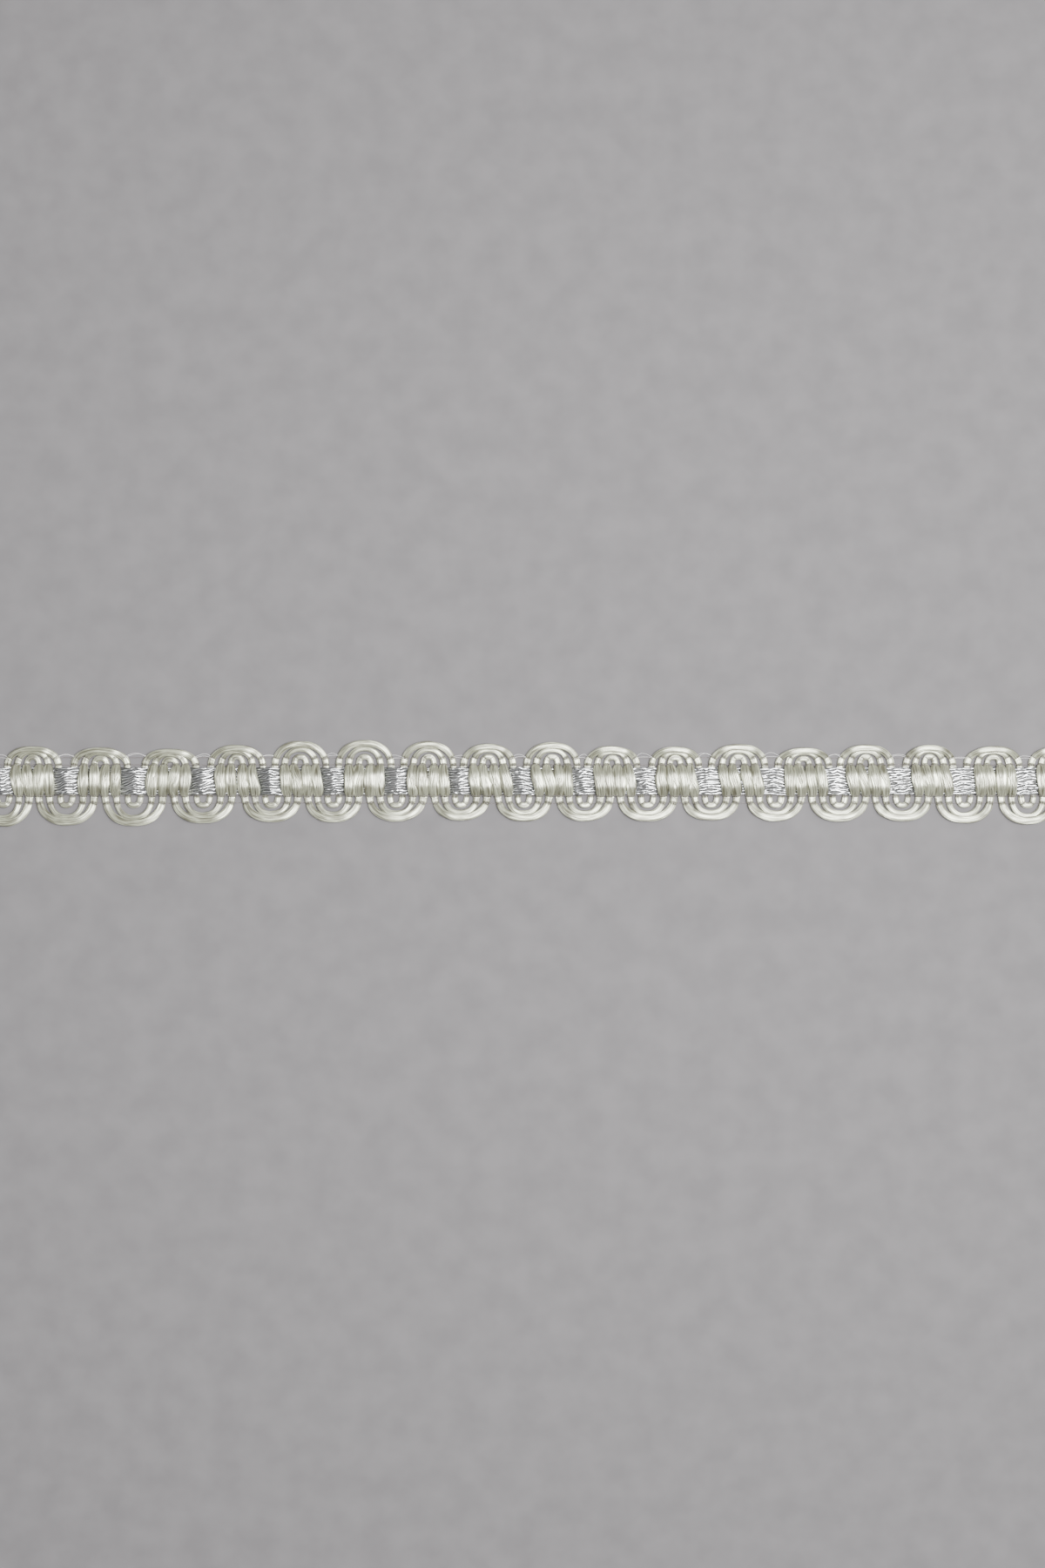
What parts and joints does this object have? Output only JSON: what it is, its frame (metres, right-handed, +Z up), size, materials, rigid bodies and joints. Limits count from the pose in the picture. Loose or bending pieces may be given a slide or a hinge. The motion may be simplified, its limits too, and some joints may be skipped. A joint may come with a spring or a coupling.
{
  "type": "metallic gimp braid trim",
  "caption": "Flat serpentine gimp braid of nested ivory rayon cords with a silver lame strip along its middle, cut square at both ends.",
  "frame": {"origin": "middle of the trim's footprint, on the surface that it lies on", "axes": "+X along the trim, to the right of the picture; +Y across it, to the picture's upper edge; +Z up from the surface, to the trim's face"},
  "size_m": [0.163, 0.0126, 0.002],
  "materials": {
    "ivory_rayon": "glossy untwisted rayon filament",
    "silver_lame": "crimped metallised flat yarn, bright silver"
  },
  "bodies": {
    "root": {"gimp_cord_a": "ivory_rayon", "gimp_cord_b": "ivory_rayon", "gimp_cord_c": "ivory_rayon", "lame_strip": "silver_lame"}
  },
  "joints": []
}
